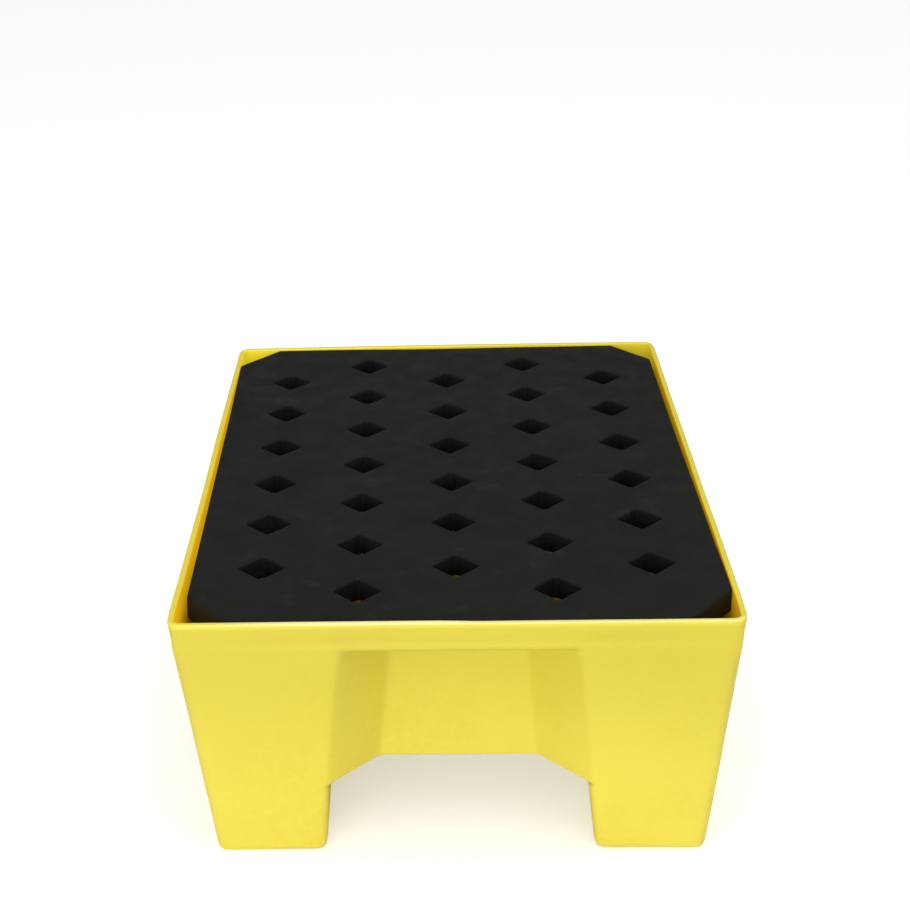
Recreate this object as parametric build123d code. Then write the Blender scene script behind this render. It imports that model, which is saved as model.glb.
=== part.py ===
from build123d import *

import math
import os

# Small spill containment pallet: a moulded sump body on four hollow legs, with a lift-out deck.
# Millimetres. Origin: centre of the footprint on the floor. X: short side, Y: long side, Z: up.
# The part is symmetric about the X and Y planes.

# ---- Overall size ----
WIDTH = 610.0
DEPTH = 800.0
HEIGHT = 310.0
WALL = 6.5

# ---- Walls ----
BAND_BOTTOM_Z = 280.0  # the walls are upright above this height and drafted below it
WALL_DRAFT_DEG = 5.3
CORNER_R = 15.0
RIM_EDGE_R = 2.5
OUTSIDE_EDGE_R = 6.0
INSIDE_EDGE_R = 3.0

# ---- Sump floor and legs ----
UNDERSIDE_Z = 95.0
LEG_TAPER = 4.5  # how far a leg's inner face moves outwards from sump floor to foot

# ---- Recess in the middle of each wall ----
RECESS_ROOF_Z = 273.0
RECESS_DEPTH = 58.5
SHORT_SIDE_MOUTH_HALF = 128.5  # half the mouth's width at the roof
LONG_SIDE_MOUTH_HALF = 199.5
RECESS_SPREAD = 20.0  # how far each side of a mouth moves outwards from roof to sump floor
RECESS_CORNER_R = 9.0

# ---- Deck ----
DECK_WIDTH = 588.0
DECK_DEPTH = 784.0
DECK_THICKNESS = 27.0
DECK_SKIN = 4.0
DECK_CHAMFER_X = 51.0
DECK_CHAMFER_Y = 56.0
DECK_CORNER_R = 3.0
DECK_EDGE_R = 2.0
HOLE_PITCH = 109.0
HOLE_SIDE = 38.5
HOLE_CORNER_R = 3.5
HOLE_COLUMNS = 5
HOLES_IN_LONG_COLUMN = 7

# ---- Worked out from the values above ----
DECK_BOTTOM_Z = RECESS_ROOF_Z + WALL
SPREAD_SLOPE = RECESS_SPREAD / (RECESS_ROOF_Z - UNDERSIDE_Z)
SPLAY_OFFSET = math.sqrt(2) - 1  # a 45 degree face moved by 1 shifts its mouth edge by this
OVERRUN = 60.0  # how far a cutting tool runs past the stock
LEVEL_TOLERANCE = 0.5


def wall_shift(z):
    """How far a wall has moved inwards at height z."""
    return max(0.0, (BAND_BOTTOM_Z - z) * math.tan(math.radians(WALL_DRAFT_DEG)))


def mouth_half(roof_half, inset, z):
    """Half the width of a recess's mouth at height z."""
    return roof_half + SPLAY_OFFSET * inset + SPREAD_SLOPE * (RECESS_ROOF_Z - z)


def wall_section(inset, z):
    """The rounded rectangle that the walls follow at height z, before any recess."""
    section = RectangleRounded(
        WIDTH - 2 * (inset + wall_shift(z)),
        DEPTH - 2 * (inset + wall_shift(z)),
        CORNER_R - inset,
    )
    return Pos(0, 0, z) * section


def plain_block(inset, bottom_z, top_z):
    """The wall form without recesses."""
    waist = wall_section(inset, BAND_BOTTOM_Z)
    lower = loft([wall_section(inset, bottom_z), waist], ruled=True)
    return lower + extrude(waist, amount=top_z - BAND_BOTTOM_Z)


def recess_section(half_depth, roof_half, inset, z):
    """A recess's outline at height z, for the wall whose outside face is at y = -half_depth."""
    half = mouth_half(roof_half, inset, z)
    face_y = -half_depth + inset + wall_shift(z)
    outline = Polyline(
        (-half - OVERRUN, face_y - OVERRUN),
        (half + OVERRUN, face_y - OVERRUN),
        (half - RECESS_DEPTH, face_y + RECESS_DEPTH),
        (-half + RECESS_DEPTH, face_y + RECESS_DEPTH),
        close=True,
    )
    section = make_face(outline)
    back_corners = section.vertices().sort_by(Axis.Y)[-2:]
    return Pos(0, 0, z) * fillet(back_corners, RECESS_CORNER_R)


def recess_tool(half_depth, roof_half, inset, floor_z, roof_z):
    """The space of a recess with splayed sides, in the -Y wall."""
    low = recess_section(half_depth, roof_half, inset, floor_z - OVERRUN)
    high = recess_section(half_depth, roof_half, inset, roof_z)
    return loft([low, high], ruled=True)


def channel_tool(roof_half, inset, floor_z):
    """The clear space between two legs, running along Y below the sump floor."""
    top_half = mouth_half(roof_half, 0.0, UNDERSIDE_Z) + inset
    low_z = inset - OVERRUN
    low_half = top_half + LEG_TAPER / UNDERSIDE_Z * (floor_z - low_z)
    outline = Polyline(
        (-low_half, low_z),
        (low_half, low_z),
        (top_half, floor_z),
        (-top_half, floor_z),
        close=True,
    )
    return extrude(make_face(Plane.XZ * outline), amount=DEPTH, both=True)


def skin_form(inset, roof_z, top_z):
    """The solid inside one skin of the sump body: inset 0 is the outside, WALL the hollow."""
    floor_z = UNDERSIDE_Z + inset
    block = plain_block(inset, inset, top_z)
    floor_plane = Plane.XY.offset(floor_z)
    legs = split(block, bisect_by=floor_plane, keep=Keep.BOTTOM)
    legs -= channel_tool(SHORT_SIDE_MOUTH_HALF, inset, floor_z)
    legs -= Rot(0, 0, 90) * channel_tool(LONG_SIDE_MOUTH_HALF, inset, floor_z)
    basin = split(block, bisect_by=floor_plane, keep=Keep.TOP)
    short_side = recess_tool(DEPTH / 2, SHORT_SIDE_MOUTH_HALF, inset, floor_z, roof_z)
    long_side = recess_tool(WIDTH / 2, LONG_SIDE_MOUTH_HALF, inset, floor_z, roof_z)
    for turn in (0, 180):
        basin -= Rot(0, 0, turn) * short_side
        basin -= Rot(0, 0, turn + 90) * long_side
    return (legs + basin).solid()


def edges_between(solid, low_z, high_z):
    """The edges whose ends lie at the two heights."""
    found = []
    for edge in solid.edges():
        box = edge.bounding_box()
        at_low = abs(box.min.Z - low_z) < LEVEL_TOLERANCE
        at_high = abs(box.max.Z - high_z) < LEVEL_TOLERANCE
        if at_low and at_high:
            found.append(edge)
    return found


def mouth_edges(solid, inset, roof_z):
    """The upright edges where a recess meets the wall's own face."""
    floor_z = UNDERSIDE_Z + inset
    inner_x = WIDTH / 2 - inset - RECESS_DEPTH / 2
    inner_y = DEPTH / 2 - inset - RECESS_DEPTH / 2
    found = []
    for edge in edges_between(solid, floor_z, roof_z):
        centre = edge.center()
        if abs(centre.X) > inner_x or abs(centre.Y) > inner_y:
            found.append(edge)
    return found


def round_skin(solid, inset, roof_z, radius, round_roof):
    """Rounds the moulded edges of one skin."""
    floor_z = UNDERSIDE_Z + inset
    edges = edges_between(solid, inset, floor_z)
    edges += mouth_edges(solid, inset, roof_z)
    edges += edges_between(solid, floor_z, floor_z)
    edges += edges_between(solid, inset, inset)
    if round_roof:
        edges += edges_between(solid, roof_z, roof_z)
    return fillet(edges, radius)


def sump_body():
    """The open tray with its four hollow legs, moulded in one piece."""
    outside = skin_form(0.0, RECESS_ROOF_Z, HEIGHT)
    outside = round_skin(outside, 0.0, RECESS_ROOF_Z, OUTSIDE_EDGE_R, round_roof=True)
    hollow = skin_form(WALL, DECK_BOTTOM_Z, HEIGHT + OVERRUN)
    hollow = round_skin(hollow, WALL, DECK_BOTTOM_Z, INSIDE_EDGE_R, round_roof=False)
    body = outside - hollow
    rim_edges = edges_between(body, HEIGHT, HEIGHT)
    return fillet(rim_edges, RIM_EDGE_R)


def hole_centres():
    """Hole centres in staggered columns: every second column has one hole more."""
    centres = []
    for column in range(HOLE_COLUMNS):
        x = (column - (HOLE_COLUMNS - 1) / 2) * HOLE_PITCH
        count = HOLES_IN_LONG_COLUMN if column % 2 == 1 else HOLES_IN_LONG_COLUMN - 1
        for row in range(count):
            y = (row - (count - 1) / 2) * HOLE_PITCH
            centres.append((x, y))
    return centres


def deck_outline(inset):
    """The deck's outline, a rectangle with its corners cut off, moved inwards by inset."""
    half_x = DECK_WIDTH / 2
    half_y = DECK_DEPTH / 2
    corner_x = half_x - DECK_CHAMFER_X
    corner_y = half_y - DECK_CHAMFER_Y
    quarter = [(half_x, corner_y), (corner_x, half_y)]
    points = []
    for sign_x, sign_y, step in ((1, 1, 1), (-1, 1, -1), (-1, -1, 1), (1, -1, -1)):
        points += [(sign_x * x, sign_y * y) for x, y in quarter[::step]]
    face = make_face(Polyline(*points, close=True))
    face = fillet(face.vertices(), DECK_CORNER_R)
    if inset > 0:
        face = offset(face, amount=-inset)
    return face


def deck_section(inset):
    """The deck's outline with its diamond holes, moved into the material by inset."""
    side = HOLE_SIDE + 2 * inset
    hole = Rot(0, 0, 45) * RectangleRounded(side, side, HOLE_CORNER_R)
    section = deck_outline(inset)
    return section - [Pos(x, y) * hole for x, y in hole_centres()]


def deck():
    """The lift-out deck: two skins joined by its rim and by the walls of its holes."""
    plate = extrude(deck_section(0.0), amount=DECK_THICKNESS)
    ends = edges_between(plate, DECK_THICKNESS, DECK_THICKNESS) + edges_between(plate, 0.0, 0.0)
    plate = fillet(ends, DECK_EDGE_R)
    hollow = extrude(deck_section(DECK_SKIN), amount=DECK_THICKNESS - 2 * DECK_SKIN)
    plate -= Pos(0, 0, DECK_SKIN) * hollow
    return Pos(0, 0, DECK_BOTTOM_Z) * plate


os.makedirs("parts", exist_ok=True)
export_step(sump_body(), "parts/sump_body.step")
export_step(deck(), "parts/deck.step")
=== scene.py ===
"""Looks of a small spill containment pallet: a yellow moulded sump body and its black lift-out deck."""
import math

import bmesh
import bpy
import numpy as np
from mathutils import Matrix, Vector, noise


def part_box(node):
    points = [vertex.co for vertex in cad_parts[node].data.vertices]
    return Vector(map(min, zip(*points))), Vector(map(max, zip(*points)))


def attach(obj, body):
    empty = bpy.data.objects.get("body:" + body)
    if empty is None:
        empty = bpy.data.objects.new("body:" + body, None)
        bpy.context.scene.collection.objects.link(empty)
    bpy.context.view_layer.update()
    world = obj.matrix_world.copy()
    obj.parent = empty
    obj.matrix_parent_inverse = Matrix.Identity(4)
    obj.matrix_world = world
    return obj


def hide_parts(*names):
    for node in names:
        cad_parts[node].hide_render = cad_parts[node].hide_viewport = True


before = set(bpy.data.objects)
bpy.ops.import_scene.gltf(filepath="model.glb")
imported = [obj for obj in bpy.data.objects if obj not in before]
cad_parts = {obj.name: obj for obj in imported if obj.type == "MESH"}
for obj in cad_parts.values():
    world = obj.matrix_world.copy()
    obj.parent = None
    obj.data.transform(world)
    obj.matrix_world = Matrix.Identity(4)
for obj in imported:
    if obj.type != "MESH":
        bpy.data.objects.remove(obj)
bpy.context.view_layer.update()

MM = 0.001  # lengths are in metres, so this turns millimetres into them

# ---- Sizes taken from the frame ----
sump_low, sump_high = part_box("sump_body")
deck_low, deck_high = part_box("deck")
HALF_X = sump_high.x
HALF_Y = sump_high.y
HEIGHT = sump_high.z
DECK_HALF_X = deck_high.x
DECK_HALF_Y = deck_high.y

# ---- Sump body ----
WALL = 6.5 * MM
BAND_BOTTOM_Z = 280 * MM
WALL_DRAFT = math.tan(math.radians(5.3))
CORNER_R = 15 * MM
FLOOR_Z = 95 * MM
LEG_TAPER = 4.5 * MM
ROOF_Z = 273 * MM
RECESS_DEPTH = 58.5 * MM
SHORT_MOUTH_HALF = 128.5 * MM
LONG_MOUTH_HALF = 199.5 * MM
RECESS_SPREAD = 20 * MM
EDGE_SUPPORT = 9 * MM  # distance of a support loop from a moulded edge: sets its roundness
FLOOR_SUPPORT = 4 * MM
LEG_SUPPORT = 18 * MM
SOLE_SUPPORT = 17 * MM
INNER_SUPPORTS = (6 * MM, 6 * MM, 12 * MM)
RIM_SUPPORT = 2.5 * MM
BAND_LOOP = 14 * MM  # a loop of mesh in the band, this far below the rim
ARC_STEPS = 4
SUBDIVISIONS = 2
LEVEL_TOLERANCE = 0.01 * MM
WELD_STEPS = 1e6  # places that agree to this many steps a metre are one corner

# ---- Deck ----
HOLE_PITCH = 109 * MM
HOLE_COLUMNS = 5
HOLES_IN_LONG_COLUMN = 7
HOLE_HALF_DIAGONAL = 27.2 * MM
HOLE_CORNER_R = 3.5 * MM
DECK_CORNER_R = 5 * MM
DECK_EDGE_R = 2.5 * MM
EDGE_MARGIN = 1 * MM  # flat strip of mesh kept next to a rounded edge
DECK_CHAMFER_X = 51 * MM
DECK_CHAMFER_Y = 56 * MM
HOLE_POINTS = 48
CORNER_ARC = 4
CORNER_STEPS = 2
EDGE_STEPS = 4
WALL_STEPS = 3
MARGIN_STEPS = 2

# ---- Slow distortions of the sump body ----
WALL_LEAN = 5.6 * MM  # how far the left wall leans inwards at its rear end
FOOT_LEAN = 7.2 * MM  # and at its foot
RIGHT_FOOT_LEAN = 1.1 * MM
LEFT_BOW = 1.0 * MM
LEFT_BOW_CENTRE = -130 * MM
LEFT_BOW_REACH = 210 * MM
RIGHT_BOW = 0.8 * MM
RIGHT_BOW_START = (-220 * MM, -80 * MM)
SIDE_HOLLOW = 2.4 * MM  # how far a side wall has sunk in, somewhat below its rim
SIDE_HOLLOW_BOTTOM = (60 * MM, 240 * MM)
SIDE_HOLLOW_TOP = (285 * MM, 308 * MM)
# Between these heights the inner skin stops sinking in, since it holds the deck above them.
ROOF_BAND = (255 * MM, 275 * MM)
SKIN_DEPTHS = (0.5 * MM, 6 * MM)  # depths below the outer face between which the outer skin ends
RECESS_SHIFT = 3.8 * MM  # how far the middle of the body lies to the right
LEG_SHIFT = 1.4 * MM  # and how much more near the sump floor
BACK_PINCH = 2.2 * MM  # how far the right rear corner of a recess has moved in
PINCH_START = (40 * MM, 75 * MM)
PINCH_END = (100 * MM, 140 * MM)
PINCH_TOP = 260 * MM
LEG_GROWTH = ((1.0 * MM, 3.4 * MM), (4.3 * MM, 8.2 * MM))  # left and right leg: at the foot, at its top
LEG_GROWTH_ABOVE = 0.45  # share of the growth that fades out above the sump floor, and the rest below it
LEG_GROWTH_TOP = 155 * MM
LEG_GROWTH_STEP = 10 * MM
LEG_GROWTH_INNER = (95 * MM, 140 * MM)
LEG_GROWTH_OUTER = (165 * MM, 255 * MM)
LEG_GROWTH_START = 220 * MM  # along Y, from the centre plane
LEG_GROWTH_REACH = 150 * MM
FLOOR_SAG = 1.3 * MM
SAG_BOTTOM = 60 * MM
SAG_TOP = 180 * MM
REAR_BOW = 3 * MM  # how far the rear wall's ends lie further in
# Heights and depths of the dent in the front band, in millimetres.
DENT_PROFILE = ((272, 1.0), (277, 1.0), (281, 1.7), (285, 2.2), (290, 1.5), (297, 0.4), (306, 0.0))
DENT_START = 255 * MM
DENT_REACH = (150 * MM, 290 * MM)
DENT_FADE = 0.7  # share of the dent that is gone at the corners
LIP_RISE = 1.5 * MM  # how far the front recess's roof edge has risen
LIP_BOTTOM = 240 * MM
LIP_TOP = 300 * MM
LIP_DEPTHS = (6 * MM, 2 * MM)
LIP_FADE = 40 * MM
RIM_DROP = 1.2 * MM  # how far the right half of the front rim has dropped
DROP_REACH = 30 * MM
SHELL_WAVE = 0.5 * MM
SHELL_WAVELENGTH = 0.16
SHELL_SEED = 3.7
RIM_RIPPLE = 0.125 * MM
RIM_WAVELENGTH = 0.11
RIM_SEED = 8.1

# ---- How the deck lies ----
HOLE_SCALE_X = 0.9945
HOLE_SCALE_Y = 0.993
OUTLINE_SCALE = 0.9985
OUTLINE_SHIFT = 2.5 * MM  # how far the front and rear edges lie further forward
EDGE_X = (255 * MM, 285 * MM)  # the stretches where the holes' scale turns into the outline's
EDGE_Y = (350 * MM, 380 * MM)
DECK_TURN = 0.0032  # radians
DECK_SHIFT_X = 2.4 * MM
DECK_SHIFT_Y = 0.8 * MM
DECK_LIFT = 1.5 * MM
DECK_SAG = 1.6 * MM
DECK_WAVE = 0.3 * MM
DECK_WAVELENGTH = 0.14
DECK_SEED = 5.3
# What changes towards one end has a reach along Y: where it starts and where it is full.
REAR_DRAFT = 1.2 * MM  # how much narrower the underside is at the rear
REAR_DRAFT_REACH = (0.0, 0.2)
FRONT_LEFT_DRAFT = -1.2 * MM  # and at the front left, where it is wider
FRONT_DRAFT_REACH = (0.1, 0.3)
REAR_LEFT_SPREAD = 0.8 * MM  # how much wider the deck is at its rear left edge
REAR_SPREAD_REACH = (0.15, 0.3)
FRONT_RIGHT_SPREAD = 1.2 * MM
FRONT_SPREAD_REACH = (0.2, 0.3)
REAR_RIGHT_PULL = 2.0 * MM  # how much narrower it is at its rear right edge
REAR_PULL_REACH = (-0.2, 0.12)
DECK_GAP = 0.2 * MM  # least distance of the front edge from the CAD's front wall
CORNER_SHIFT = 1.5 * MM  # the rear left corner lies further back and higher
CORNER_LIFT = 0.8 * MM
CORNER_REACH_X = (0.0, 0.2)
CORNER_REACH_Y = (0.3, 0.38)


class Cage:
    """A quad mesh that welds corners lying at the same place."""

    def __init__(self):
        self.points = []
        self.faces = []
        self.slots = []
        self.index = {}
        self.slot = 0

    def point(self, place):
        key = tuple(round(float(v) * WELD_STEPS) for v in place)
        if key not in self.index:
            self.index[key] = len(self.points)
            self.points.append(tuple(float(v) for v in place))
        return self.index[key]

    def face(self, places):
        corners = []
        for place in places:
            corner = self.point(place)
            if corner not in corners:
                corners.append(corner)
        if len(corners) > 2:
            self.faces.append(corners)
            self.slots.append(self.slot)

    def strip(self, first, second):
        """Quads between two equally long rows of points."""
        for k in range(len(first) - 1):
            self.face((first[k], first[k + 1], second[k + 1], second[k]))

    def rows(self, rows):
        for first, second in zip(rows, rows[1:]):
            self.strip(first, second)

    def fill(self, start, end, left, right):
        """A patch between two facing rows, start and end, whose ends are joined by left and right."""
        start, end, left, right = (np.array(row, float) for row in (start, end, left, right))
        across = np.linspace(0, 1, len(start))[:, None]
        rows = []
        for k, along in enumerate(np.linspace(0, 1, len(left))):
            blend = (1 - along) * start + along * end
            blend += (1 - across) * left[k] + across * right[k]
            corners = (1 - across) * ((1 - along) * start[0] + along * end[0])
            corners += across * ((1 - along) * start[-1] + along * end[-1])
            rows.append(blend - corners)
        self.rows(rows)

    def mirrored(self):
        """The cage with its mirror images across the X and Y planes."""
        whole = Cage()
        for sign_x in (1, -1):
            for sign_y in (1, -1):
                for corners, whole.slot in zip(self.faces, self.slots):
                    places = [self.points[c] for c in corners]
                    if sign_x * sign_y < 0:
                        places.reverse()
                    whole.face([(sign_x * x, sign_y * y, z) for x, y, z in places])
        return whole

    def to_object(self, name):
        mesh = bpy.data.meshes.new(name)
        mesh.from_pydata(self.points, [], self.faces)
        mesh.polygons.foreach_set("material_index", self.slots)
        return link(bpy.data.objects.new(name, mesh))


def stops(start, end, first, last, middle):
    """Points on a line: its ends, a support point near each end and `middle` segments between them.
    A support distance of 0 leaves that support out."""
    start, end = np.array(start, float), np.array(end, float)
    length = np.linalg.norm(end - start)
    low, high = first / length, 1 - last / length
    shares = [0.0] if first else []
    shares += list(np.linspace(low, high, middle + 1))
    shares += [1.0] if last else []
    return [start + share * (end - start) for share in shares]


class Skin:
    """One skin of the sump body in the quarter x > 0, y < 0: the outside, or the hollow at inset WALL."""

    def __init__(self, inset, supports):
        self.inset = inset
        self.support, self.floor_support, self.leg_support = supports
        self.roof_z = ROOF_Z + inset
        self.floor_z = FLOOR_Z + inset
        self.sole_z = inset
        splay = (math.sqrt(2) - 1) * inset
        self.mouths = []
        for half in (SHORT_MOUTH_HALF, LONG_MOUTH_HALF):
            self.mouths.append((half + splay, half + RECESS_SPREAD + inset))

    def walls(self, z):
        """Distance of the front and side faces from the centre planes."""
        shift = self.inset + max(0.0, BAND_BOTTOM_Z - z) * WALL_DRAFT
        return HALF_Y - shift, HALF_X - shift

    def mouth(self, side, z):
        """Half the width of the recess's mouth, and below the floor of the gap between two legs."""
        top, bottom = self.mouths[side]
        if z >= self.roof_z:
            return top
        if z >= self.floor_z:
            return top + (bottom - top) * (self.roof_z - z) / (self.roof_z - self.floor_z)
        return bottom + LEG_TAPER * (self.floor_z - z) / FLOOR_Z

    def edge_support(self, z):
        """Support distance at an upright mouth or leg edge: a leg's edges are rounder."""
        if z >= self.floor_z:
            return self.support
        return self.leg_support if z > self.sole_z + LEVEL_TOLERANCE else SOLE_SUPPORT

    def face_row(self, z):
        """From the front mouth's edge around the rounded corner to the side mouth's edge."""
        front, side = self.walls(z)
        radius = CORNER_R - self.inset
        near = self.edge_support(z)
        row = stops((self.mouth(0, z), -front), (side - radius, -front), near, 0, 3)
        for k in range(1, ARC_STEPS):
            angle = math.radians(-90 + 90 * k / ARC_STEPS)
            x = side - radius + radius * math.cos(angle)
            y = -front + radius + radius * math.sin(angle)
            row.append(np.array((x, y)))
        row += stops((side, -front + radius), (side, -self.mouth(1, z)), 0, near, 3)
        return self.at(row, z)

    def band_rows(self, z):
        """The stretches of the upright band above the two mouths."""
        front, side = self.walls(z)
        short = stops((0, -front), (self.mouth(0, z), -front), 0, self.support, 3)
        long = stops((side, -self.mouth(1, z)), (side, 0), self.support, 0, 4)
        return self.at(short, z), self.at(long, z)

    def recess_rows(self, z):
        """Back wall and splayed side of each recess: short side out to its mouth, then long side in."""
        front, side = self.walls(z)
        half = self.mouth(0, z)
        back = (half - RECESS_DEPTH, -front + RECESS_DEPTH)
        short_back = stops((0, back[1]), back, 0, self.support, 3)
        short_splay = stops(back, (half, -front), self.support, self.support, 2)
        half = self.mouth(1, z)
        back = (side - RECESS_DEPTH, -half + RECESS_DEPTH)
        long_splay = stops((side, -half), back, self.support, self.support, 2)
        long_back = stops(back, (back[0], 0), self.support, 0, 4)
        rows = (short_back, short_splay, long_splay, long_back)
        return [self.at(row, z) for row in rows]

    def leg_rows(self, z):
        """Rear and inner faces of the leg."""
        front, side = self.walls(z)
        gap_x, gap_y = self.mouth(0, z), self.mouth(1, z)
        face_steps = len(self.face_row(z)) - 1
        inner_steps = face_steps // 2 - 2
        near = self.edge_support(z)
        rear = stops((side, -gap_y), (gap_x, -gap_y), near, near, inner_steps)
        inner = stops((gap_x, -gap_y), (gap_x, -front), near, near, inner_steps)
        return self.at(rear, z), self.at(inner, z)

    def at(self, row, z):
        return [np.array((p[0], p[1], z)) for p in row]

    def levels(self, top, bottom, first, last, middle):
        heights = stops((0, 0, top), (0, 0, bottom), first, last, middle)
        return [float(h[2]) for h in heights]


def add_walls(cage, skin, band_levels):
    """Band, wall, recess and leg faces of one skin."""
    wall_levels = skin.levels(skin.roof_z, skin.floor_z, skin.support, skin.floor_support, 3)
    leg_levels = skin.levels(skin.floor_z, skin.sole_z, skin.floor_support, SOLE_SUPPORT, 2)
    for levels in (band_levels, wall_levels, leg_levels):
        cage.rows([skin.face_row(z) for z in levels])
    for k in range(2):
        cage.rows([skin.band_rows(z)[k] for z in band_levels])
        cage.rows([skin.leg_rows(z)[k] for z in leg_levels])
    for k in range(4):
        cage.rows([skin.recess_rows(z)[k] for z in wall_levels])


def add_roofs(cage, skin):
    """The roofs of the recesses, which carry the deck on their upper side."""
    z = skin.roof_z
    front, side = skin.walls(z)
    short_band, long_band = skin.band_rows(z)
    short_back, short_splay, long_splay, long_back = skin.recess_rows(z)
    middle = stops((0, short_back[0][1]), (0, -front), skin.support, skin.support, 2)
    cage.fill(short_back, short_band, skin.at(middle, z), short_splay)
    middle = stops((side, 0), (long_back[-1][0], 0), skin.support, skin.support, 2)
    cage.fill(long_band, long_back, long_splay, skin.at(middle, z))


def add_floor(cage, skin):
    """The sump floor between the recesses and the legs."""
    z = skin.floor_z
    short_back, short_splay, long_splay, long_back = skin.recess_rows(z)
    rear, inner = skin.leg_rows(z)
    mouth_x, mouth_y = skin.mouth(0, z), skin.mouth(1, z)
    back_x, back_y = short_back[-1][0], -long_back[0][1]
    along_x = stops((0, 0), (back_x, 0), 0, skin.support, 3)
    along_x += stops((back_x, 0), (mouth_x, 0), skin.support, skin.support, 2)[1:]
    along_y = stops((0, 0), (0, -back_y), 0, skin.support, 4)
    along_y += stops((0, -back_y), (0, -mouth_y), skin.support, skin.support, 2)[1:]
    centre = [[np.array((px[0], py[1], z)) for px in along_x] for py in along_y]
    cage.rows(centre)
    back_steps = len(short_back)
    front_edge = centre[-1]
    near, sharp = skin.support, skin.floor_support
    arm_side = stops((back_x, -mouth_y), short_back[-1][:2], near, sharp, len(inner) - 3)
    arm_side = skin.at(arm_side, z)
    arm_middle = stops((0, -mouth_y), (0, short_back[0][1]), near, sharp, len(inner) - 3)
    cage.fill(front_edge[:back_steps], short_back, skin.at(arm_middle, z), arm_side)
    cage.fill(front_edge[back_steps - 1:], short_splay, arm_side, inner)
    side_edge = [row[-1] for row in centre][::-1]
    splay_steps = len(long_splay)
    arm_side = stops((mouth_x, -back_y), long_back[0][:2], near, sharp, len(rear) - 3)
    arm_side = skin.at(arm_side, z)
    arm_middle = stops((mouth_x, 0), (long_back[-1][0], 0), near, sharp, len(rear) - 3)
    cage.fill(side_edge[:splay_steps], long_splay, rear[::-1], arm_side)
    cage.fill(side_edge[splay_steps - 1:], long_back, arm_side, skin.at(arm_middle, z))


def add_sole(cage, skin):
    """The closed end of a leg."""
    face = skin.face_row(skin.sole_z)
    rear, inner = skin.leg_rows(skin.sole_z)
    middle = len(face) // 2
    cage.fill(face[: middle + 1], rear[::-1], inner[::-1], face[middle:])


def sump_cage():
    """The whole sump body: outside, hollow and the rounded rim that joins them."""
    cage = Cage()
    outside = Skin(0.0, (EDGE_SUPPORT, FLOOR_SUPPORT, LEG_SUPPORT))
    hollow = Skin(WALL, INNER_SUPPORTS)
    band = [HEIGHT - RIM_SUPPORT, HEIGHT - BAND_LOOP, BAND_BOTTOM_Z]
    for cage.slot, skin in enumerate((outside, hollow)):
        add_walls(cage, skin, band + [skin.roof_z])
        add_roofs(cage, skin)
        add_floor(cage, skin)
        add_sole(cage, skin)
    rim = [(outside, HEIGHT - RIM_SUPPORT), (outside, HEIGHT), (Skin(WALL / 2, INNER_SUPPORTS), HEIGHT),
           (hollow, HEIGHT), (hollow, HEIGHT - RIM_SUPPORT)]
    for cage.slot, part in enumerate((rim[:-1], rim[-2:])):
        cage.rows([skin.face_row(z) for skin, z in part])
        for k in range(2):
            cage.rows([skin.band_rows(z)[k] for skin, z in part])
    return cage.mirrored()


def rounded_square(half_diagonal, radius):
    """Points round a square that stands on its corner, anticlockwise from the middle of its +X corner."""
    inner = half_diagonal - radius * math.sqrt(2)
    arc = range(-(CORNER_ARC // 2), CORNER_ARC // 2 + 1)
    corners = []
    for turn in range(4):
        middle = 90 * turn
        centre = np.array((math.cos(math.radians(middle)), math.sin(math.radians(middle)))) * inner
        angles = [math.radians(middle + 90 * k / CORNER_ARC) for k in arc]
        corners.append([centre + radius * np.array((math.cos(a), math.sin(a))) for a in angles])
    points = []
    for turn in range(4):
        points += corners[turn]
        start, end = corners[turn][-1], corners[(turn + 1) % 4][0]
        side = HOLE_POINTS // 4 - CORNER_ARC
        points += [start + (end - start) * k / side for k in range(1, side)]
    return points[CORNER_ARC // 2:] + points[: CORNER_ARC // 2]


def tile_border():
    """Points round a hole's square tile, anticlockwise from the middle of its +X side."""
    per_side = HOLE_POINTS // 4
    half = HOLE_PITCH / 2
    points = []
    for k in range(HOLE_POINTS):
        side, step = divmod(k + per_side // 2, per_side)
        along = half * (2.0 * step / per_side - 1.0)
        cos, sin = ((1, 0), (0, 1), (-1, 0), (0, -1))[side % 4]
        points.append(np.array((half * cos - along * sin, half * sin + along * cos)))
    return points


def edge_profile():
    """(inset, drop) pairs of the rounding between the deck's top face and an upright face."""
    pairs = [(DECK_EDGE_R + EDGE_MARGIN, 0.0)]
    for k in range(EDGE_STEPS + 1):
        angle = math.radians(90 * k / EDGE_STEPS)
        pairs.append((DECK_EDGE_R * (1 - math.sin(angle)), DECK_EDGE_R * (1 - math.cos(angle))))
    return pairs


def through_rings(flat_rings, edge_rings, wall_ring):
    """Stacks rings over the deck's thickness: top face, top edge, upright wall, bottom edge, bottom face.
    Each ring is (points, drop)."""
    top, bottom = deck_high.z, deck_low.z
    rings = flat_rings + edge_rings
    levels = np.linspace(top - DECK_EDGE_R, bottom + DECK_EDGE_R, WALL_STEPS + 1)[1:-1]
    stack = [[(p[0], p[1], top - drop) for p in ring] for ring, drop in rings]
    stack += [[(p[0], p[1], z) for p in wall_ring] for z in levels]
    stack += [[(p[0], p[1], bottom + drop) for p in ring] for ring, drop in reversed(rings)]
    return stack


def hole_centres():
    """Hole centres in staggered columns: every second column has one hole more."""
    centres = []
    for column in range(HOLE_COLUMNS):
        x = (column - (HOLE_COLUMNS - 1) / 2) * HOLE_PITCH
        count = HOLES_IN_LONG_COLUMN if column % 2 == 1 else HOLES_IN_LONG_COLUMN - 1
        centres += [(x, (row - (count - 1) / 2) * HOLE_PITCH) for row in range(count)]
    return centres


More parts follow.
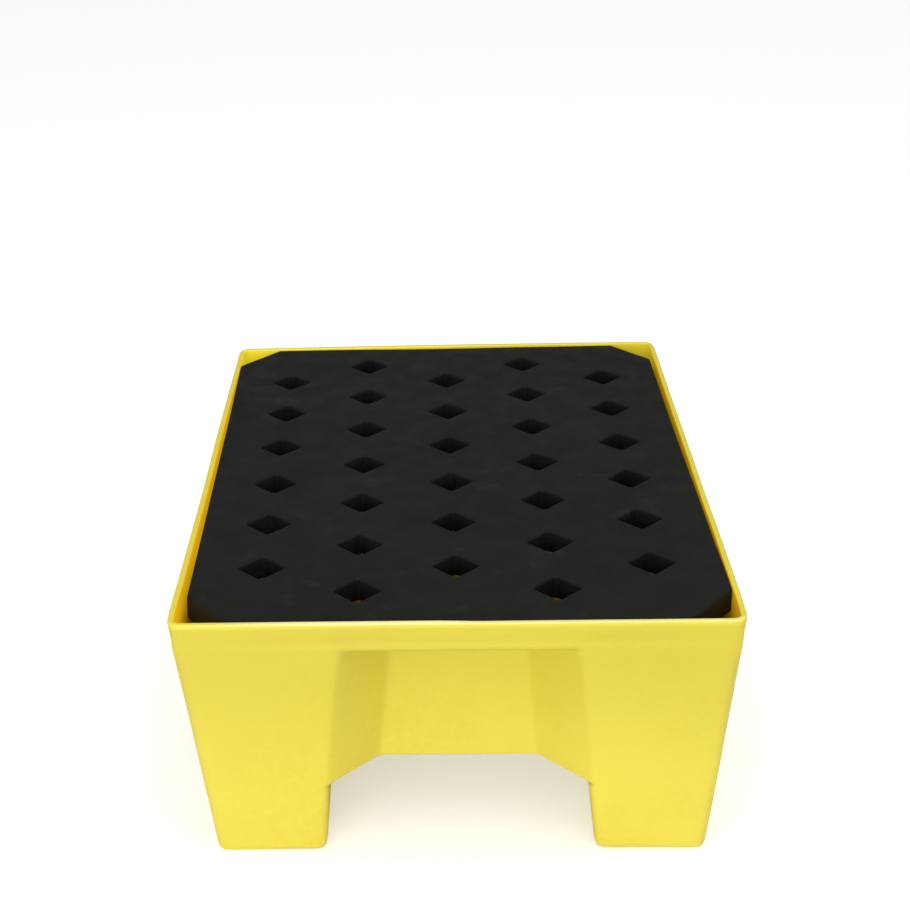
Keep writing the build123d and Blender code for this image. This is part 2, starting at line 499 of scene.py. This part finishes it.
def add_holes(cage):
    """A square tile with its diamond hole for every hole of the deck."""
    border = tile_border()
    edge = [(rounded_square(HOLE_HALF_DIAGONAL + math.sqrt(2) * inset, HOLE_CORNER_R + inset), drop)
            for inset, drop in edge_profile()]
    middle = [(a + b) / 2 for a, b in zip(border, edge[0][0])]
    stack = through_rings([(border, 0.0), (middle, 0.0)], edge, edge[-1][0])
    for x, y in hole_centres():
        placed = [[(px + x, py + y, z) for px, py, z in ring + ring[:1]] for ring in stack]
        cage.rows(placed)


def quarter_margin():
    """Matched points in the quarter x, y > 0, from the X axis round to the Y axis: the edge of the
    tiled area, and the deck's outline as (point, outward normal)."""
    step = HOLE_PITCH / (HOLE_POINTS // 4)
    side_x = HOLE_COLUMNS * HOLE_PITCH / 2
    short_y = (HOLES_IN_LONG_COLUMN - 1) * HOLE_PITCH / 2
    long_y = HOLES_IN_LONG_COLUMN * HOLE_PITCH / 2
    inner_x = side_x - HOLE_PITCH
    side_steps, across, up = (round(length / step) for length in (short_y, HOLE_PITCH, long_y - short_y))
    inner = [np.array((side_x, step * k)) for k in range(side_steps)]
    inner += [np.array((side_x - step * k, short_y)) for k in range(across)]
    inner += [np.array((inner_x, short_y + step * k)) for k in range(up)]
    inner += [np.array((inner_x - step * k, long_y)) for k in range(round(inner_x / step) + 1)]
    outer = [(np.array((DECK_HALF_X, step * k)), np.array((1.0, 0.0))) for k in range(side_steps)]
    low = np.array((DECK_HALF_X, DECK_HALF_Y - DECK_CHAMFER_Y))
    high = np.array((DECK_HALF_X - DECK_CHAMFER_X, DECK_HALF_Y))
    slope = math.atan2(DECK_CHAMFER_X, DECK_CHAMFER_Y)
    corners = []
    for corner, first, last in ((low, 0.0, slope), (high, slope, math.pi / 2)):
        bisector = (first + last) / 2
        reach = DECK_CORNER_R / math.cos((last - first) / 2)
        centre = corner - reach * np.array((math.cos(bisector), math.sin(bisector)))
        normals = [np.array((math.cos(a), math.sin(a))) for a in np.linspace(first, last, CORNER_STEPS + 1)]
        corners.append([(centre + DECK_CORNER_R * n, n) for n in normals])
    start = (np.array((DECK_HALF_X, short_y)), np.array((1.0, 0.0)))
    end = (np.array((inner_x, DECK_HALF_Y)), np.array((0.0, 1.0)))
    chamfer_steps = 6
    rest = across + up - 2 * CORNER_STEPS - chamfer_steps - 1
    outer += [start] + corners[0]
    outer += between(corners[0][-1], corners[1][0], chamfer_steps)[1:-1]
    outer += corners[1]
    outer += between(corners[1][-1], end, rest)[1:-1]
    outer += [(np.array((inner_x - step * k, DECK_HALF_Y)), np.array((0.0, 1.0)))
              for k in range(round(inner_x / step) + 1)]
    return inner, outer


def between(first, last, steps):
    """(point, normal) pairs on the straight line between two such pairs."""
    shares = np.linspace(0, 1, steps + 1)
    return [(first[0] + share * (last[0] - first[0]), first[1]) for share in shares]


def add_margin(cage):
    """The deck outside its tiles, in one quarter: the flat margin, the rounded edge and the outer wall."""
    inner, outer = quarter_margin()
    edge = [([p - inset * n for p, n in outer], drop) for inset, drop in edge_profile()]
    flat = []
    for share in np.linspace(0, 1, MARGIN_STEPS + 1)[:-1]:
        flat.append(([a + share * (b - a) for a, b in zip(inner, edge[0][0])], 0.0))
    cage.rows(through_rings(flat, edge, edge[-1][0]))
    step = HOLE_PITCH / (HOLE_POINTS // 4)
    short_y = (HOLES_IN_LONG_COLUMN - 1) * HOLE_PITCH / 2
    columns = range(round(HOLE_PITCH / 2 / step) + 1)
    for z in (deck_high.z, deck_low.z):
        cage.rows([[(step * i, short_y + step * j, z) for i in columns] for j in columns])


def deck_cage():
    """The whole deck as one closed skin."""
    margin = Cage()
    add_margin(margin)
    cage = margin.mirrored()
    add_holes(cage)
    return cage


def subdivide(obj, levels):
    """Rounds a cage by subdivision and keeps the result as its mesh."""
    modifier = obj.modifiers.new("round", "SUBSURF")
    modifier.levels = modifier.render_levels = levels
    evaluated = obj.evaluated_get(bpy.context.evaluated_depsgraph_get())
    mesh = bpy.data.meshes.new_from_object(evaluated)
    obj.modifiers.clear()
    obj.data = mesh


def ramp(value, low, high):
    """0 below low, 1 above high, smooth between."""
    share = np.clip((value - low) / (high - low), 0.0, 1.0)
    return share * share * (3 - 2 * share)


def slow_noise(points, wavelength, seed):
    """Smooth noise, about -1 to 1, at each point."""
    offset = Vector((seed, 2 * seed, 3 * seed))
    return np.array([noise.noise(Vector(p) / wavelength + offset) for p in points])


def drafted(z):
    """How far the drafted walls have come in at height z."""
    return np.maximum(0, BAND_BOTTOM_Z - z) * WALL_DRAFT


def lean_walls(x, y, z):
    """How far the side walls have moved along X: they lean inwards, bow and have sunk in a little."""
    low = 1 - ramp(z, 0, HEIGHT)
    along = (y + HALF_Y) / (2 * HALF_Y)
    side = ramp(np.abs(x), 0.5 * HALF_X, 0.9 * HALF_X)
    left, right = side * (x < 0), side * (x > 0)
    bow = np.clip(1 - ((y - LEFT_BOW_CENTRE) / LEFT_BOW_REACH) ** 2, 0, 1)
    sunk = ramp(z, *SIDE_HOLLOW_BOTTOM) * (1 - ramp(z, *SIDE_HOLLOW_TOP))
    sunk *= 1 - ramp(z, *ROOF_BAND) * ramp(HALF_X - drafted(z) - np.abs(x), *SKIN_DEPTHS)
    moved = left * (WALL_LEAN * along + FOOT_LEAN * low * (1 - 0.5 * along) + LEFT_BOW * bow)
    moved -= right * (RIGHT_BOW * ramp(y, *RIGHT_BOW_START) + RIGHT_FOOT_LEAN * low)
    return moved + (left - right) * SIDE_HOLLOW * sunk


def near_middle(x):
    """1 in the middle of the body's width, 0 at its side walls."""
    return 1 - ramp(np.abs(x), 0.55 * HALF_X, 0.92 * HALF_X)


def near_front_recess(y):
    """1 in the front recess, 0 behind it."""
    return ramp(-y, 0.55 * HALF_Y, 0.75 * HALF_Y)


def near_front(y):
    """1 in the front wall, 0 behind it."""
    return ramp(-y, 0.8 * HALF_Y, 0.95 * HALF_Y)


def shift_middle(x, y, z):
    """How far the middle of the body has moved along X."""
    near_floor = 1 - ramp(z, 0.3 * FLOOR_Z, 1.4 * FLOOR_Z)
    pinch = ramp(x, *PINCH_START) * (1 - ramp(x, *PINCH_END)) * (1 - ramp(z, FLOOR_Z, PINCH_TOP))
    moved = near_middle(x) * (RECESS_SHIFT + LEG_SHIFT * near_floor)
    return moved - BACK_PINCH * pinch * near_front_recess(y)


def grow_legs(x, y, z):
    """How far the legs' inner faces have moved along X, towards the gap between the legs."""
    leg = LEG_GROWTH_ABOVE * (1 - ramp(z, FLOOR_Z, LEG_GROWTH_TOP))
    leg += (1 - LEG_GROWTH_ABOVE) * (1 - ramp(z, FLOOR_Z - LEG_GROWTH_STEP, FLOOR_Z))
    leg *= ramp(np.abs(x), *LEG_GROWTH_INNER) * (1 - ramp(np.abs(x), *LEG_GROWTH_OUTER))
    leg *= np.clip((np.abs(y) - LEG_GROWTH_START) / LEG_GROWTH_REACH, 0, 1)
    left, right = (np.interp(z, (0, FLOOR_Z), growth) for growth in LEG_GROWTH)
    return leg * np.where(x < 0, left, -right)


def dent_ends(x, y, z):
    """How far the front and rear walls have moved along Y: a dent in the front band, a bowed rear wall."""
    dent = MM * np.interp(z / MM, *zip(*DENT_PROFILE)) * ramp(z, DENT_START, BAND_BOTTOM_Z)
    dent *= 1 - DENT_FADE * ramp(np.abs(x), *DENT_REACH)
    dent *= 1 - ramp(HALF_Y - drafted(z) + y, *SKIN_DEPTHS)
    rear = ramp(y, 0.6 * HALF_Y, 0.95 * HALF_Y) * ramp(z, 0.5 * HEIGHT, HEIGHT)
    return near_front(y) * dent - rear * REAR_BOW * (x / HALF_X) ** 2


def raise_and_drop(x, y, z):
    """How far points have moved along Z: the front recess's roof edge, the front rim, the sump floor."""
    deep, shallow = LIP_DEPTHS
    lip = ramp(-y, HALF_Y - deep, HALF_Y - shallow)
    lip *= ramp(z, LIP_BOTTOM, ROOF_Z) * (1 - ramp(z, ROOF_Z, LIP_TOP))
    lip *= 1 - ramp(np.abs(x), SHORT_MOUTH_HALF, SHORT_MOUTH_HALF + LIP_FADE)
    drop = near_front(y) * ramp(x, -DROP_REACH, DROP_REACH) * ramp(z, BAND_BOTTOM_Z, HEIGHT)
    sag = near_front_recess(y) * near_middle(x)
    sag *= ramp(z, SAG_BOTTOM, FLOOR_Z) * (1 - ramp(z, FLOOR_Z, SAG_TOP))
    return lip * LIP_RISE - drop * RIM_DROP - sag * FLOOR_SAG


def bend_sump(points):
    """The slow distortions of a moulded shell, kept inside the body's box."""
    x, y, z = points.T
    wave = SHELL_WAVE * slow_noise(points, SHELL_WAVELENGTH, SHELL_SEED)
    across = lean_walls(x, y, z) + shift_middle(x, y, z) + grow_legs(x, y, z)
    across -= wave * np.sign(x) * ramp(np.abs(x), 0.6 * HALF_X, 0.9 * HALF_X)
    back = dent_ends(x, y, z) - wave * np.sign(y) * ramp(np.abs(y), 0.7 * HALF_Y, 0.9 * HALF_Y)
    ripple = RIM_RIPPLE * (1 + slow_noise(points, RIM_WAVELENGTH, RIM_SEED)) * ramp(z, BAND_BOTTOM_Z, HEIGHT)
    up = raise_and_drop(x, y, z) - ripple
    moved = points + np.stack((across, back, up), axis=1)
    return np.clip(moved, (-HALF_X, -HALF_Y, 0), (HALF_X, HALF_Y, HEIGHT))


def place_deck(points):
    """The deck lies loose: a little smaller than its room, turned, sagging and not quite square."""
    x, y, z = points.T
    left, right = x < 0, x > 0
    up = (z - deck_low.z) / (deck_high.z - deck_low.z)
    edge_x, edge_y = ramp(np.abs(x), *EDGE_X), ramp(np.abs(y), *EDGE_Y)
    wide = x * (HOLE_SCALE_X + (OUTLINE_SCALE - HOLE_SCALE_X) * edge_x)
    deep = y * (HOLE_SCALE_Y + (OUTLINE_SCALE - HOLE_SCALE_Y) * edge_y) - OUTLINE_SHIFT * edge_y
    draft = REAR_DRAFT * ramp(y, *REAR_DRAFT_REACH)
    draft += FRONT_LEFT_DRAFT * left * ramp(-y, *FRONT_DRAFT_REACH)
    wide -= np.sign(x) * draft * edge_x * (1 - up)
    spread = FRONT_RIGHT_SPREAD * right * ramp(-y, *FRONT_SPREAD_REACH)
    spread -= REAR_LEFT_SPREAD * left * ramp(y, *REAR_SPREAD_REACH)
    spread -= REAR_RIGHT_PULL * right * ramp(y, *REAR_PULL_REACH)
    corner = ramp(-x, *CORNER_REACH_X) * ramp(y, *CORNER_REACH_Y)
    wave = DECK_WAVE * (1 + slow_noise(points, DECK_WAVELENGTH, DECK_SEED)) * ramp(z, deck_low.z, deck_high.z)
    sag = DECK_SAG * up * (1 - (x / DECK_HALF_X) ** 2) * (1 - (y / DECK_HALF_Y) ** 2)
    placed_x = wide + spread * edge_x - DECK_TURN * y + DECK_SHIFT_X
    placed_y = deep + DECK_TURN * x + DECK_SHIFT_Y + CORNER_SHIFT * corner
    placed_y = np.maximum(placed_y, -HALF_Y + WALL + DECK_GAP)
    placed_z = z + (DECK_LIFT + CORNER_LIFT * corner) * up - sag - wave
    return np.stack((placed_x, placed_y, placed_z), axis=1)


def move_points(obj, shape):
    """Replaces every vertex of a mesh by shape(points)."""
    flat = np.empty(3 * len(obj.data.vertices), dtype=np.float64)
    obj.data.vertices.foreach_get("co", flat)
    moved = shape(flat.reshape(-1, 3))
    obj.data.vertices.foreach_set("co", moved.astype(np.float64).ravel())
    obj.data.update()


def finish_mesh(obj):
    """Points every face outwards and shades the mesh smooth."""
    work = bmesh.new()
    work.from_mesh(obj.data)
    bmesh.ops.recalc_face_normals(work, faces=work.faces)
    work.to_mesh(obj.data)
    work.free()
    obj.data.shade_smooth()


class Shader:
    """Builds a node material around one Principled shader."""

    def __init__(self, name):
        self.material = bpy.data.materials.new(name)
        self.material.use_nodes = True
        self.tree = self.material.node_tree
        self.surface = self.tree.nodes["Principled BSDF"]
        self.place = self.node("ShaderNodeTexCoord").outputs["Object"]

    def node(self, kind, settings=None, **inputs):
        """A new node with these settings and inputs. An input goes by its name, or by its number as _0."""
        made = self.tree.nodes.new(kind)
        for key, value in (settings or {}).items():
            setattr(made, key, value)
        for key, value in inputs.items():
            self.put(made.inputs[int(key[1:]) if key[0] == "_" else key.replace("_", " ")], value)
        return made

    def put(self, socket, value):
        """Links another node's output to a socket, or sets the socket's value."""
        if isinstance(value, bpy.types.NodeSocket):
            self.tree.links.new(value, socket)
        else:
            socket.default_value = value

    def axes(self):
        """The X, Y and Z coordinates of the shaded point."""
        return self.node("ShaderNodeSeparateXYZ", _0=self.place).outputs

    def noise(self, scale, detail, roughness=0.5):
        made = self.node("ShaderNodeTexNoise", Scale=scale, Detail=detail, Roughness=roughness)
        self.tree.links.new(self.place, made.inputs["Vector"])
        return made.outputs["Fac"]

    def ramp(self, value, low, high, to_low=0.0, to_high=1.0):
        """Value from low..high mapped smoothly onto to_low..to_high."""
        made = self.node("ShaderNodeMapRange", {"interpolation_type": "SMOOTHSTEP"}, _0=value)
        for key, number in (("From Min", low), ("From Max", high), ("To Min", to_low), ("To Max", to_high)):
            made.inputs[key].default_value = number
        return made.outputs[0]

    def math(self, operation, a, b):
        return self.node("ShaderNodeMath", {"operation": operation}, _0=a, _1=b).outputs[0]

    def blend(self, share, first, second):
        made = self.node("ShaderNodeMix", {"data_type": "RGBA"})
        for index, value in ((0, share), (6, first), (7, second)):
            self.put(made.inputs[index], value)
        return made.outputs[2]

    def bump(self, height, strength, distance, under=None):
        made = self.node("ShaderNodeBump", Strength=strength, Distance=distance, Height=height)
        if under:
            self.tree.links.new(under, made.inputs["Normal"])
        return made.outputs["Normal"]

    def specks(self, scale, size, rarity):
        """Small round marks: one in `rarity` cells of a cell pattern holds one."""
        cells = self.node("ShaderNodeTexVoronoi", Scale=scale)
        self.tree.links.new(self.place, cells.inputs["Vector"])
        near = self.ramp(cells.outputs["Distance"], size * 0.6, size, 1.0, 0.0)
        hue = self.node("ShaderNodeSeparateColor", Color=cells.outputs["Color"]).outputs[0]
        chosen = self.math("GREATER_THAN", hue, 1.0 - 1.0 / rarity)
        return self.math("MULTIPLY", near, chosen)

    def set(self, **inputs):
        for key, value in inputs.items():
            self.put(self.surface.inputs[key.replace("_", " ")], value)


# ---- Colours, linear. A yellow has three: deep, light and mottle. ----
OUTER_YELLOWS = ((0.80, 0.655, 0.055, 1), (0.85, 0.72, 0.070, 1), (0.84, 0.73, 0.085, 1))
# Painted light: the inner skin's deeper orange stands in for light shining through the thin wall.
HOLLOW_PAINTED_YELLOWS = ((0.78, 0.46, 0.010, 1), (0.82, 0.51, 0.012, 1), (0.80, 0.50, 0.014, 1))
YELLOW_SPECK = (0.95, 0.93, 0.70, 1)
# Painted shade: the outside is blended towards this darker yellow up towards the band.
BAND_PAINTED_SHADE = (0.62, 0.52, 0.038, 1)
PAINTED_SHADE_HEIGHTS = (60 * MM, 285 * MM)  # painted shade: the outside is darker between these heights, up towards the band
# Painted highlight: a pale yellow along the top edge of the front rim.
RIM_PAINTED_HIGHLIGHT = (1.0, 0.99, 0.42, 1)
# Painted glow: an emission on the inner skin near the rim, in place of light shining through the wall.
PAINTED_GLOW = (0.60, 0.335, 0.002, 1)
GLOW_HEIGHTS = (255 * MM, 295 * MM)
GLOW_STRENGTH = 0.82
RIGHT_GLOW = 0.4  # share of the painted glow in the right wall, which gets less light from the left
REAR_GLOW = 0.6  # and in the rear wall
REAR_REACH = (0.345, 0.385)  # the rear wall's colours take over between these distances from the centre plane
# Where the rear wall's inside is lit directly, the painted orange gives way to this yellow and a paler
# painted glow.
REAR_YELLOW = (0.80, 0.655, 0.045, 1)
REAR_GLOW_COLOR = (0.60, 0.49, 0.0, 1)
BLACK_DEEP = (0.0075, 0.0075, 0.0062, 1)
BLACK_LIGHT = (0.0105, 0.0105, 0.009, 1)
BLACK_GRAIN = (0.014, 0.014, 0.012, 1)
BLACK_DUST = (0.05, 0.05, 0.047, 1)


def clouded_yellow(made, deep, light, mottled):
    """The yellow's base colour: slow clouds, a faint mottle and a few pale specks."""
    cloud = made.ramp(made.noise(scale=5.0, detail=4.0), 0.35, 0.65)
    mottle = made.ramp(made.noise(scale=120.0, detail=3.0), 0.3, 0.7)
    color = made.blend(cloud, deep, light)
    color = made.blend(made.math("MULTIPLY", mottle, 0.5), color, mottled)
    marks = made.specks(scale=22.0, size=0.05, rarity=14.0)
    return made.blend(made.math("MULTIPLY", marks, 0.6), color, YELLOW_SPECK)


def make_satin(made, color):
    """A satin surface of this colour, with fine peel and slow waves."""
    peel = made.bump(made.noise(scale=260.0, detail=2.0), strength=0.06, distance=0.4 * MM)
    waves = made.bump(made.noise(scale=28.0, detail=2.0), strength=0.04, distance=2.0 * MM, under=peel)
    rough = made.ramp(made.noise(scale=60.0, detail=3.0), 0.3, 0.7, to_low=0.36, to_high=0.46)
    made.set(Base_Color=color, Roughness=rough, Normal=waves, Specular_IOR_Level=0.45)


def outside_polyethylene():
    """The sump body's outside: painted shade darkens it towards the band, and a painted highlight runs along
    the front rim.
    """
    made = Shader("sump_polyethylene")
    across, along, height = made.axes()
    color = clouded_yellow(made, *OUTER_YELLOWS)
    below_rim = made.ramp(height, HEIGHT - 9 * MM, HEIGHT - 2 * MM, to_low=1.0, to_high=0.0)
    # painted shade, darker towards the band and fading out just below the rim top
    shade = made.math("MULTIPLY", made.ramp(height, *PAINTED_SHADE_HEIGHTS, to_high=0.65), below_rim)
    color = made.blend(shade, color, BAND_PAINTED_SHADE)
    # painted highlight along the top of the front rim, fading out towards its left end
    at_top = made.ramp(height, HEIGHT - 3 * MM, HEIGHT - 0.5 * MM)
    at_front = made.ramp(along, -HALF_Y + 6 * MM, -HALF_Y + 12 * MM, to_low=0.8, to_high=0.0)
    off_left = made.ramp(across, -0.95 * HALF_X, -0.5 * HALF_X)
    painted_highlight = made.math("MULTIPLY", made.math("MULTIPLY", at_top, at_front), off_left)
    make_satin(made, made.blend(painted_highlight, color, RIM_PAINTED_HIGHLIGHT))
    return made.material


def hollow_polyethylene():
    """The sump body's inside: a deeper, more orange yellow and an emission near the rim, both painted light
    in place of light shining through the thin wall. The painted glow is weaker on the right, and the directly
    lit rear wall is less orange."""
    made = Shader("sump_polyethylene_hollow")
    across, along, height = made.axes()
    rear = made.ramp(along, *REAR_REACH)
    make_satin(made, made.blend(rear, clouded_yellow(made, *HOLLOW_PAINTED_YELLOWS), REAR_YELLOW))
    strength = made.ramp(height, *GLOW_HEIGHTS, to_high=GLOW_STRENGTH)
    side_share = made.ramp(across, -0.5 * HALF_X, 0.5 * HALF_X, to_low=1.0, to_high=RIGHT_GLOW)
    rear_share = made.ramp(along, *REAR_REACH, to_low=1.0, to_high=REAR_GLOW)
    strength = made.math("MULTIPLY", made.math("MULTIPLY", strength, side_share), rear_share)
    # painted glow: emission in place of light shining through the wall
    made.set(Emission_Color=made.blend(rear, PAINTED_GLOW, REAR_GLOW_COLOR), Emission_Strength=strength)
    return made.material


def deck_polyethylene():
    """Matt black, lightly clouded, with a fine grain and traces of dust."""
    made = Shader("deck_polyethylene")
    cloud = made.ramp(made.noise(scale=6.0, detail=5.0, roughness=0.6), 0.3, 0.7)
    grain = made.ramp(made.noise(scale=400.0, detail=2.0), 0.3, 0.7)
    color = made.blend(cloud, BLACK_DEEP, BLACK_LIGHT)
    color = made.blend(made.math("MULTIPLY", grain, 0.35), color, BLACK_GRAIN)
    dust = made.ramp(made.noise(scale=18.0, detail=6.0, roughness=0.7), 0.56, 0.75)
    color = made.blend(made.math("MULTIPLY", dust, 0.25), color, BLACK_DUST)
    marks = made.specks(scale=30.0, size=0.05, rarity=10.0)
    color = made.blend(made.math("MULTIPLY", marks, 0.5), color, BLACK_DUST)
    peel = made.bump(made.noise(scale=320.0, detail=3.0), strength=0.25, distance=0.3 * MM)
    rough = made.ramp(made.noise(scale=30.0, detail=4.0), 0.3, 0.7, to_low=0.5, to_high=0.68)
    made.set(Base_Color=color, Roughness=rough, Normal=peel, Specular_IOR_Level=0.12)
    return made.material


# ---- Camera ----
CAMERA_PLACE = (-0.0255, -1.9814, 1.2384)
CAMERA_TILT = math.radians(22.384)
CAMERA_TURN = math.radians(2.744)
CAMERA_ROLL = math.radians(2.025)
CAMERA_LENS = 68.751  # millimetres, on a sensor 36 mm wide
CAMERA_SHIFT = (0.11563, -0.08295)

# ---- Floor, world and lights ----
FLOOR_COLOR = (0.86, 0.86, 0.86, 1)
FLOOR_LIFT = 0.42  # how much brighter the camera sees the floor
FLOOR_HALF = 8
WHITE = (1, 1, 1, 1)
SKY_REAR = 0.32
SKY_FRONT = 0.95
SKY_BOUNDS = (0.6, -0.8)  # the light changes from rear to front between these directions along Y
KEY_PLACE = (-0.9, -3.8, 1.0)
KEY_AIM = (0, -0.3, 0.1)
TOP_PLACE = (0.2, -0.6, 3.2)
TOP_AIM = (0, 0, 0.2)


def link(obj):
    bpy.context.scene.collection.objects.link(obj)
    return obj


def add_camera():
    camera = link(bpy.data.objects.new("camera", bpy.data.cameras.new("camera")))
    camera.data.sensor_width = 36.0
    camera.data.lens = CAMERA_LENS
    camera.data.shift_x, camera.data.shift_y = CAMERA_SHIFT
    turn = Matrix.Rotation(CAMERA_TURN, 4, "Z")
    tilt = Matrix.Rotation(math.pi / 2 - CAMERA_TILT, 4, "X")
    roll = Matrix.Rotation(-CAMERA_ROLL, 4, "Z")
    camera.matrix_world = Matrix.Translation(CAMERA_PLACE) @ turn @ tilt @ roll
    bpy.context.scene.camera = camera
    bpy.context.scene.view_settings.view_transform = "Standard"


def add_floor_plane():
    """A pale floor that the camera sees as nearly white."""
    mesh = bpy.data.meshes.new("floor")
    corners = [(FLOOR_HALF * x, FLOOR_HALF * y, 0) for x, y in ((-1, -1), (1, -1), (1, 1), (-1, 1))]
    mesh.from_pydata(corners, [], [(0, 1, 2, 3)])
    floor = link(bpy.data.objects.new("floor", mesh))
    pale = Shader("pale_floor")
    pale.set(Base_Color=FLOOR_COLOR, Roughness=0.9, Specular_IOR_Level=0.1)
    seen = pale.node("ShaderNodeLightPath").outputs["Is Camera Ray"]
    pale.set(Emission_Color=WHITE, Emission_Strength=pale.math("MULTIPLY", seen, FLOOR_LIFT))
    floor.data.materials.append(pale.material)


def add_world():
    """White surroundings: the light from the front is stronger, and the camera sees plain white."""
    world = bpy.data.worlds.new("world")
    bpy.context.scene.world = world
    world.use_nodes = True
    tree = world.node_tree
    background = tree.nodes["Background"]
    background.inputs["Color"].default_value = WHITE
    direction = tree.nodes.new("ShaderNodeTexCoord")
    parts = tree.nodes.new("ShaderNodeSeparateXYZ")
    tree.links.new(direction.outputs["Generated"], parts.inputs[0])
    front = tree.nodes.new("ShaderNodeMapRange")
    for name, value in zip(("From Min", "From Max"), SKY_BOUNDS):
        front.inputs[name].default_value = value
    front.inputs["To Min"].default_value = SKY_REAR
    front.inputs["To Max"].default_value = SKY_FRONT
    tree.links.new(parts.outputs["Y"], front.inputs[0])
    seen = tree.nodes.new("ShaderNodeLightPath")
    pick = tree.nodes.new("ShaderNodeMix")
    tree.links.new(seen.outputs["Is Camera Ray"], pick.inputs[0])
    tree.links.new(front.outputs[0], pick.inputs[2])
    pick.inputs[3].default_value = 1.0
    tree.links.new(pick.outputs[0], background.inputs["Strength"])


def add_light(name, place, aim, size, power):
    """A square area light at place that points at aim."""
    lamp = link(bpy.data.objects.new(name, bpy.data.lights.new(name, "AREA")))
    lamp.data.energy = power
    lamp.data.size = size
    lamp.location = place
    lamp.rotation_euler = (Vector(aim) - Vector(place)).to_track_quat("-Z", "Y").to_euler()


def add_sump():
    sump = sump_cage().to_object("sump_shell")
    finish_mesh(sump)
    subdivide(sump, SUBDIVISIONS)
    move_points(sump, bend_sump)
    finish_mesh(sump)
    sump.data.materials.append(outside_polyethylene())
    sump.data.materials.append(hollow_polyethylene())
    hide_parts("sump_body")
    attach(sump, "sump")


def add_deck():
    deck = deck_cage().to_object("deck_plate")
    move_points(deck, place_deck)
    finish_mesh(deck)
    deck.data.materials.append(deck_polyethylene())
    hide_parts("deck")
    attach(deck, "deck")


add_sump()
add_deck()
add_camera()
add_floor_plane()
add_world()
add_light("key", KEY_PLACE, KEY_AIM, size=2.2, power=43)
add_light("top", TOP_PLACE, TOP_AIM, size=2.5, power=31)
